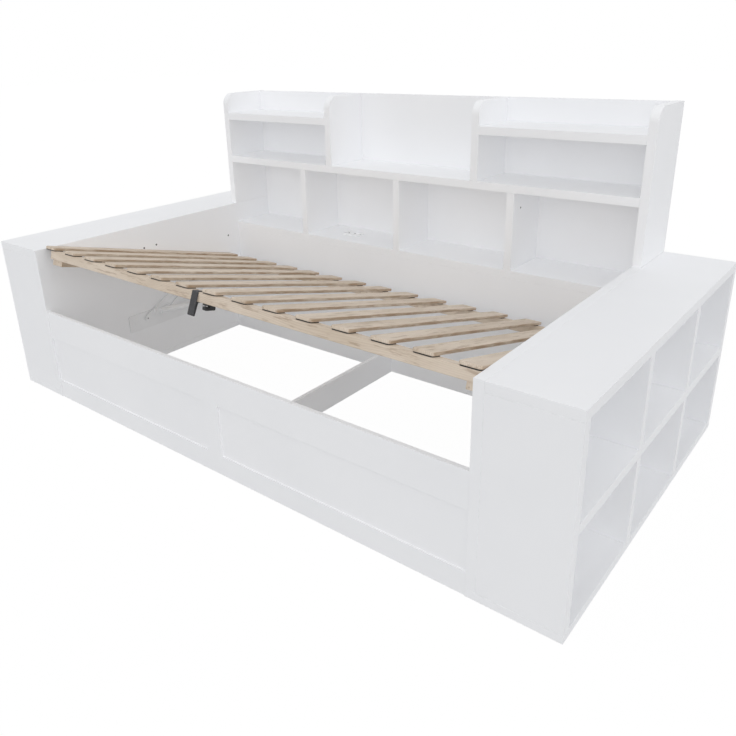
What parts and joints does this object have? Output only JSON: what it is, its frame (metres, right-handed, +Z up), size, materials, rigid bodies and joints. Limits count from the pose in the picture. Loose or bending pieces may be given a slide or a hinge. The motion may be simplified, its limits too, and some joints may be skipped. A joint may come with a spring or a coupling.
{
  "type": "storage daybed",
  "caption": "Daybed with a lift-up slatted platform over a storage box, end cube cabinets and a rear bookcase.",
  "frame": {"origin": "on the floor, under the middle of the overall width and depth", "axes": "+X along the bed from the left end cabinet to the right, +Y from the open front to the bookcase, +Z up"},
  "size_m": [2.466, 1.29, 1.141],
  "materials": {
    "white_board": "satin white melamine on particle board",
    "pine": "bare planed pine",
    "painted_steel": "light grey powder coat",
    "polished_steel": "polished",
    "webbing": "woven black webbing",
    "black_plastic": "matt moulded"
  },
  "bodies": {
    "bed_frame": {"left_cabinet_bottom": "white_board", "left_cabinet_inner_panel": "white_board", "left_cabinet_top": "white_board", "left_cabinet_front": "white_board", "left_cabinet_rear": "white_board", "left_cabinet_shelf": "white_board", "left_cabinet_divider_1": "white_board", "left_cabinet_divider_2": "white_board", "right_cabinet_bottom": "white_board", "right_cabinet_inner_panel": "white_board", "right_cabinet_top": "white_board", "right_cabinet_front": "white_board", "right_cabinet_rear": "white_board", "right_cabinet_shelf": "white_board", "right_cabinet_divider_1": "white_board", "right_cabinet_divider_2": "white_board", "storage_front_panel": "white_board", "storage_rear_panel": "white_board", "storage_divider": "white_board", "bookcase_fascia": "white_board", "bookcase_back_panel": "white_board", "bookcase_bottom_shelf": "white_board", "bookcase_middle_shelf": "white_board", "bookcase_lower_divider_1": "white_board", "bookcase_lower_divider_2": "white_board", "bookcase_lower_divider_3": "white_board", "bookcase_upper_cubby_left": "white_board", "bookcase_side_left": "white_board", "bookcase_upper_cubby_right": "white_board", "bookcase_side_right": "white_board", "left_lift_base": "painted_steel", "right_lift_base": "painted_steel"},
    "platform": {"slat_frame": "pine", "slat_01": "pine", "slat_02": "pine", "slat_03": "pine", "slat_04": "pine", "slat_05": "pine", "slat_06": "pine", "slat_07": "pine", "slat_08": "pine", "slat_09": "pine", "slat_10": "pine", "slat_11": "pine", "slat_12": "pine", "slat_13": "pine", "slat_14": "pine", "slat_15": "pine", "left_lift_bracket": "painted_steel", "right_lift_bracket": "painted_steel", "pull_strap": "webbing", "rail_clip": "black_plastic"},
    "left_link": {"left_front_link": "painted_steel"},
    "left_arm": {"left_rear_arm": "painted_steel"},
    "left_cylinder": {"left_gas_cylinder": "painted_steel"},
    "left_rod": {"left_gas_rod": "polished_steel"},
    "right_link": {"right_front_link": "painted_steel"},
    "right_arm": {"right_rear_arm": "painted_steel"},
    "right_cylinder": {"right_gas_cylinder": "painted_steel"},
    "right_rod": {"right_gas_rod": "polished_steel"}
  },
  "joints": [
    {"name": "platform_lift", "type": "hinge", "parent": "bed_frame", "child": "left_link", "pos_m": [-0.9546, -0.195, 0.211], "axis": [1, 0, 0], "range_deg": [-24.32, 22]},
    {"name": "platform_tilt", "type": "hinge", "parent": "left_link", "child": "platform", "pos_m": [-0.9546, 0.04982, 0.34118], "axis": [1, 0, 0], "range_deg": [-35.82, 39.56]},
    {"name": "right_link_turn", "type": "hinge", "parent": "bed_frame", "child": "right_link", "pos_m": [0.9546, -0.195, 0.211], "axis": [1, 0, 0], "range_deg": [-24.73, 22.4]},
    {"name": "left_arm_turn", "type": "hinge", "parent": "bed_frame", "child": "left_arm", "pos_m": [-0.959, -0.061, 0.2167], "axis": [1, 0, 0], "range_deg": [-29.59, 26.8]},
    {"name": "left_cylinder_turn", "type": "hinge", "parent": "left_link", "child": "left_cylinder", "pos_m": [-0.9358, -0.15085, 0.23447], "axis": [1, 0, 0], "range_deg": [-25.66, 28.32]},
    {"name": "left_rod_slide", "type": "slide", "parent": "left_cylinder", "child": "left_rod", "axis": [0, 0.9954, -0.0955], "range_m": [-0.01081, 0.0098]},
    {"name": "right_arm_turn", "type": "hinge", "parent": "bed_frame", "child": "right_arm", "pos_m": [0.959, -0.061, 0.2167], "axis": [1, 0, 0], "range_deg": [-29.59, 26.8]},
    {"name": "right_cylinder_turn", "type": "hinge", "parent": "right_link", "child": "right_cylinder", "pos_m": [0.9358, -0.15085, 0.23447], "axis": [1, 0, 0], "range_deg": [-25.66, 28.32]},
    {"name": "right_rod_slide", "type": "slide", "parent": "right_cylinder", "child": "right_rod", "axis": [0, 0.9954, -0.0955], "range_m": [-0.01081, 0.0098]}
  ],
  "couplings": [
    {"joint": "platform_tilt", "follows": "platform_lift", "ratio": -1.6101},
    {"joint": "right_link_turn", "follows": "platform_lift", "ratio": 1},
    {"joint": "left_arm_turn", "follows": "platform_lift", "ratio": 1.2},
    {"joint": "left_cylinder_turn", "follows": "platform_lift", "ratio": -1.148},
    {"joint": "left_rod_slide", "follows": "platform_lift", "m_per_rad": 0.024752},
    {"joint": "right_arm_turn", "follows": "platform_lift", "ratio": 1.2},
    {"joint": "right_cylinder_turn", "follows": "platform_lift", "ratio": -1.148},
    {"joint": "right_rod_slide", "follows": "platform_lift", "m_per_rad": 0.024752}
  ]
}
